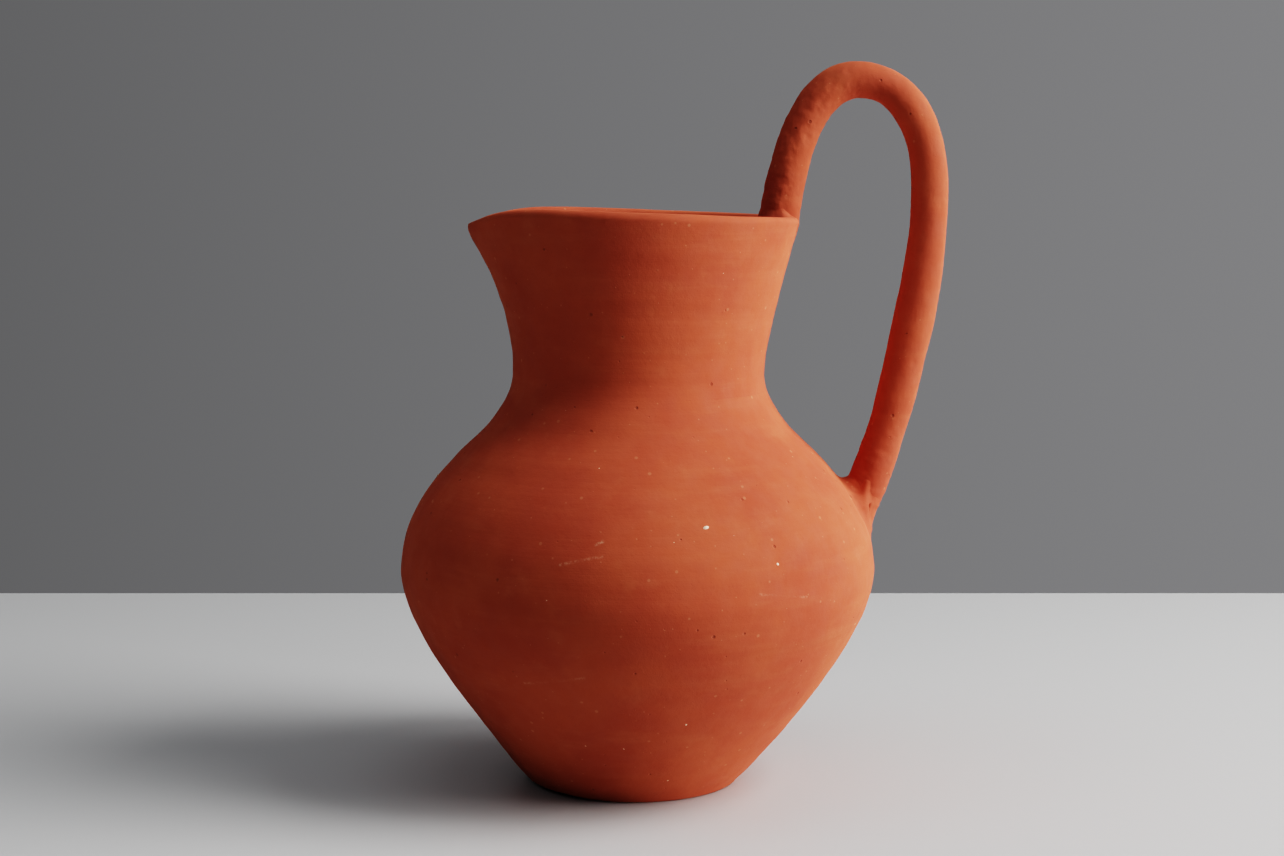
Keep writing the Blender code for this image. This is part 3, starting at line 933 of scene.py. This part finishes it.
def terracotta(name, lines=1.0, pits=1.0, smears=0.0, scuffs=False, seed=0.0):
    """Unglazed fired clay: mottled red to orange, dusted with bloom, with grog, pits with painted shade in
    them, and fine lines.

    lines and pits scale the relief of the throwing lines and pits, and smears adds wiped clay's relief.
    """
    n = Nodes(name)
    broad = n.noise(34.0, 4.0, 0.6, seed=seed + 3.1)
    colour = n.blend(n.between(broad, 0.32, 0.68), RED_CLAY, ORANGE_CLAY)
    streaks = n.noise(7.0, 4.0, 0.6, (0.18, 0.18, 1.3), seed + 7.7)
    colour = n.blend(n.between(streaks, 0.50, 0.78, 0.0, 0.25), colour, BLOOM)
    dusty = n.noise(11.0, 5.0, 0.65, seed=seed + 12.9)
    colour = n.blend(n.between(dusty, 0.55, 0.80, 0.0, 0.35), colour, BLOOM)
    grain = n.noise(0.55, 3.0, 0.7, seed=seed + 1.3)
    colour = n.blend(n.between(grain, 0.55, 0.85, 0.0, 0.35), colour, DARK_GRAIN_AND_PAINTED_SHADE)
    for cell, size, rarity, shift in ((4.4, 0.70, 0.50, 4.0), (2.3, 0.36, 0.50, 6.0)):
        grog = n.specks(cell, 0.16, size, rarity, shift + seed)
        colour = n.blend(n.maths("MULTIPLY", grog, 0.27), colour, GROG)
    if scuffs:
        worn = n.between(n.noise(1.0, 3.0, 0.7, seed=61.0), 0.40, 0.62)
        for angle, height, other_angle, other_height, width, strength in SCUFFS:
            ends = on_surface(angle, height)[0], on_surface(other_angle, other_height)[0]
            line = n.scuff(*ends, width)
            line = n.maths("MULTIPLY", n.maths("MULTIPLY", line, worn), strength)
            colour = n.blend(line, colour, SCUFFED)
    # Pits: dents in the relief, their colour darkened with the dark clay colour as painted shade in them.
    pit_with_painted_shade = n.specks(5.0, 0.35, 0.75, 0.55, 9.0 + seed)
    colour = n.blend(n.maths("MULTIPLY", pit_with_painted_shade, 0.42), colour, DARK_GRAIN_AND_PAINTED_SHADE)
    n.put(n.shader.inputs["Base Color"], colour)

    roughness = n.between(n.noise(6.0, 4.0, seed=seed + 5.5), 0.3, 0.7, 0.78, 0.94)
    n.put(n.shader.inputs["Roughness"], roughness)
    n.shader.inputs["Specular IOR Level"].default_value = 0.28
    n.shader.inputs["Diffuse Roughness"].default_value = 0.7

    relief = n.maths("MULTIPLY", grain, 0.035)
    skin = n.noise(2.2, 5.0, 0.62, seed=seed + 21.0)
    relief = n.maths("ADD", relief, n.maths("MULTIPLY", skin, 0.10))
    fine_lines = n.noise(1.1, 2.0, 0.5, (0.035, 0.035, 1.0), seed + 33.0)
    relief = n.maths("ADD", relief, n.maths("MULTIPLY", fine_lines, 0.045 * lines))
    relief = n.maths("ADD", relief, n.maths("MULTIPLY", pit_with_painted_shade, -0.22 * pits))
    relief = n.maths("ADD", relief, n.maths("MULTIPLY", grog, 0.03))
    if smears:
        smear = n.noise(4.0, 3.0, 0.6, (1.0, 1.0, 0.35), seed + 41.0)
        relief = n.maths("ADD", relief, n.maths("MULTIPLY", smear, smears))
    bump = n.new("ShaderNodeBump", {"Strength": 1.0, "Distance": MM, "Height": relief})
    n.put(n.shader.inputs["Normal"], bump.outputs["Normal"])
    return n.material


def grit_material():
    """Grains that run from fired-clay orange to pale lime."""
    n = Nodes("grit")
    colour = n.blend(n.between(n.noise(9.0, 2.0, 0.5, seed=3.0), 0.38, 0.62), GROG, LIME)
    colour = n.blend(n.between(n.noise(0.6, 3.0, 0.6, seed=8.0), 0.50, 0.80, 0.0, 0.5), colour, ORANGE_CLAY)
    middle = on_surface(*LIME_GRAIN[:2])[0]
    tip = middle + Vector((0.0, 0.0, 0.4 * MM))
    colour = n.blend(n.scuff(middle, tip, LIME_REACH_MM), colour, LIME)
    n.put(n.shader.inputs["Base Color"], colour)
    n.put(n.shader.inputs["Roughness"], n.between(n.noise(1.5, 3.0, seed=2.0), 0.3, 0.7, 0.7, 0.9))
    n.shader.inputs["Specular IOR Level"].default_value = 0.3
    relief = n.noise(0.3, 2.0, 0.6, seed=4.0)
    bump = n.new("ShaderNodeBump", {"Strength": 0.5, "Distance": MM, "Height": relief})
    n.put(n.shader.inputs["Normal"], bump.outputs["Normal"])
    return n.material


# ---------------------------------------------------------------- studio

VIEW_DISTANCE = 779.4 * MM
VIEW_HEIGHT = 213.1 * MM
VIEW_SIDE = 1.65 * MM
VIEW_PITCH = math.radians(6.374)
LENS_MM = 62.0
SENSOR_MM = 36.0
TABLE_EDGE = 354.0 * MM
TABLE_FRONT = -2.5
TABLE_WIDTH = 5.0
TABLE_DEPTH = 40.0 * MM
TABLE_COLOUR = (0.520, 0.522, 0.525)
TABLE_ROUGHNESS = 0.40


def plain_material(name, colour, roughness):
    """One even colour, for the floor only."""
    material = bpy.data.materials.new(name)
    material.use_nodes = True
    shader = material.node_tree.nodes["Principled BSDF"]
    shader.inputs["Base Color"].default_value = (*colour, 1.0)
    shader.inputs["Roughness"].default_value = roughness
    shader.inputs["Specular IOR Level"].default_value = 0.3
    return material


def make_floor():
    """A pale table top, straight along its back edge."""
    length = TABLE_EDGE - TABLE_FRONT
    middle = (0.0, 0.5 * (TABLE_EDGE + TABLE_FRONT), -0.5 * TABLE_DEPTH)
    mesh = bpy.data.meshes.new("floor")
    box = bmesh.new()
    bmesh.ops.create_cube(box, size=1.0)
    bmesh.ops.scale(box, verts=box.verts, vec=(TABLE_WIDTH, length, TABLE_DEPTH))
    bmesh.ops.translate(box, verts=box.verts, vec=middle)
    box.to_mesh(mesh)
    box.free()
    floor = bpy.data.objects.new("floor", mesh)
    bpy.context.scene.collection.objects.link(floor)
    mesh.materials.append(plain_material("pale_floor", TABLE_COLOUR, TABLE_ROUGHNESS))


# Lamps: name, direction round the pitcher and height in degrees, size of the square, watts, colour.
LAMP_DISTANCE = 1.35
LAMPS = (
    ("side_softbox", -9.5, 5.0, 0.7, 22.5, (1.0, 0.985, 0.965)),
    ("high_softbox", -14.0, 46.0, 0.7, 16.5, (1.0, 0.99, 0.975)),
    ("fill", 190.0, 50.0, 0.8, 2.0, (0.90, 0.96, 1.0)),
    ("ceiling", -90.0, 82.0, 0.9, 2.0, (0.96, 0.98, 1.0)),
)


def make_lamp(name, direction_degrees, height_degrees, size, power, colour):
    """A soft square light, aimed at the pitcher's middle."""
    turn = math.radians(direction_degrees)
    up = math.radians(height_degrees)
    target = Vector((0.0, 0.0, 0.5 * RIM_HEIGHT))
    away = Vector((math.cos(turn) * math.cos(up), math.sin(turn) * math.cos(up), math.sin(up)))
    data = bpy.data.lights.new(name, "AREA")
    data.shape = "RECTANGLE"
    data.size = size
    data.size_y = size
    data.energy = power
    data.color = colour
    lamp = bpy.data.objects.new(name, data)
    lamp.location = target + LAMP_DISTANCE * away
    lamp.rotation_euler = away.to_track_quat("Z", "Y").to_euler()
    bpy.context.scene.collection.objects.link(lamp)


# The grey room: its brightness is this base, plus these shares of the direction's x and y.
ROOM_BASE = 0.114
ROOM_TILT = (0.112, 0.040, 0.0)
ROOM_COLOUR = (1.0, 1.0, 1.02, 1.0)


def make_world():
    """A grey room that is softly brighter to the right and behind, and darker to the left."""
    world = bpy.data.worlds.new("studio")
    world.use_nodes = True
    nodes, links = world.node_tree.nodes, world.node_tree.links
    direction = nodes.new("ShaderNodeTexCoord")
    tilt = nodes.new("ShaderNodeVectorMath")
    tilt.operation = "DOT_PRODUCT"
    tilt.inputs[1].default_value = ROOM_TILT
    links.new(direction.outputs["Generated"], tilt.inputs[0])
    level = nodes.new("ShaderNodeMath")
    level.operation = "ADD"
    level.use_clamp = True
    level.inputs[1].default_value = ROOM_BASE
    links.new(tilt.outputs["Value"], level.inputs[0])
    background = nodes["Background"]
    background.inputs["Color"].default_value = ROOM_COLOUR
    links.new(level.outputs[0], background.inputs["Strength"])
    bpy.context.scene.world = world


def make_camera():
    """The photograph's viewpoint."""
    data = bpy.data.cameras.new("camera")
    data.lens = LENS_MM
    data.sensor_width = SENSOR_MM
    camera = bpy.data.objects.new("camera", data)
    camera.location = (VIEW_SIDE, -VIEW_DISTANCE, VIEW_HEIGHT)
    camera.rotation_euler = (math.radians(90.0) - VIEW_PITCH, 0.0, 0.0)
    bpy.context.scene.collection.objects.link(camera)
    bpy.context.scene.camera = camera


def make_studio():
    make_camera()
    make_floor()
    make_world()
    for lamp in LAMPS:
        make_lamp(*lamp)
    bpy.context.scene.view_settings.view_transform = "Filmic"
    bpy.context.scene.view_settings.look = "Very High Contrast"


# ---------------------------------------------------------------- assembly


def place(piece, material, slot, *nodes):
    """Give a piece its material and body, and hide the CAD nodes that it stands for. Its slot is not used."""
    piece.data.materials.clear()
    piece.data.materials.append(material)
    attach(piece, "root")
    if nodes:
        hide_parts(*nodes)


make_studio()
thrown = terracotta("thrown_terracotta", scuffs=True)
rolled = terracotta("rolled_terracotta", lines=0.15, pits=1.4, smears=0.12, seed=50.0)
place(make_belly(), thrown, "belly_terracotta", "belly")
place(make_neck(), thrown, "neck_terracotta", "neck")
place(make_handle(), rolled, "handle_terracotta", "handle")
place(make_grit(), grit_material(), "belly_terracotta")
luted = terracotta("luting_clay", lines=0.1, pits=1.0, smears=0.16, seed=80.0)
place(make_top_smear(), luted, "luting_clay", "handle_top_clay")
place(make_bottom_smear(), luted, "luting_clay", "handle_bottom_clay")
